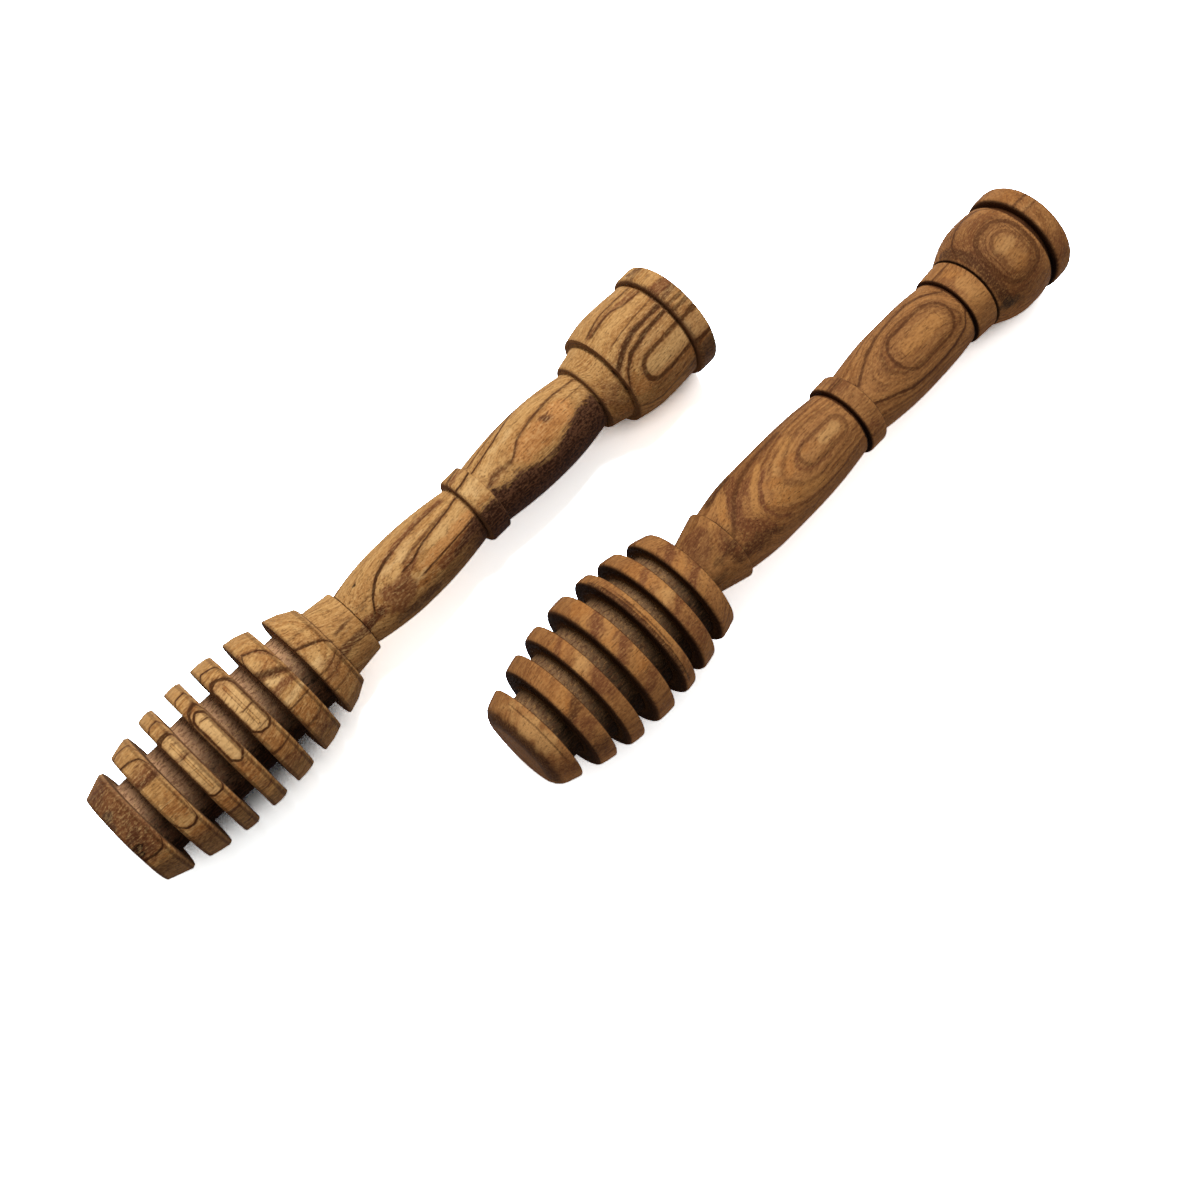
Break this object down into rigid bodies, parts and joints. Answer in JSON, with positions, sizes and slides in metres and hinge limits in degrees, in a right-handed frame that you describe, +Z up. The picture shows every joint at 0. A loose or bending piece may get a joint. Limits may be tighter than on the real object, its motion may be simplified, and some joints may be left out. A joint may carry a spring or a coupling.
{
  "type": "honey dipper",
  "caption": "Turned olive-wood honey dippers lying side by side, one pale and one dark: grooved barrel head, swelling handle with a ring, and a rounded knob with a rim.",
  "frame": {"origin": "on the table, under the middle of the pair's bounding box", "axes": "+X along the dippers from their heads toward their knobs, +Y across from the dark dipper to the pale one, +Z up"},
  "size_m": [0.2256, 0.0746, 0.0313],
  "materials": {
    "pale_olive_wood": "bare turned olive wood, pale honey colour with thin dark veins, satin from oil and handling",
    "dark_olive_wood": "bare turned olive wood, warm reddish brown with soft rings, satin from oil and handling"
  },
  "bodies": {
    "root": {"pale_dipper": "pale_olive_wood", "dark_dipper": "dark_olive_wood"}
  },
  "joints": []
}
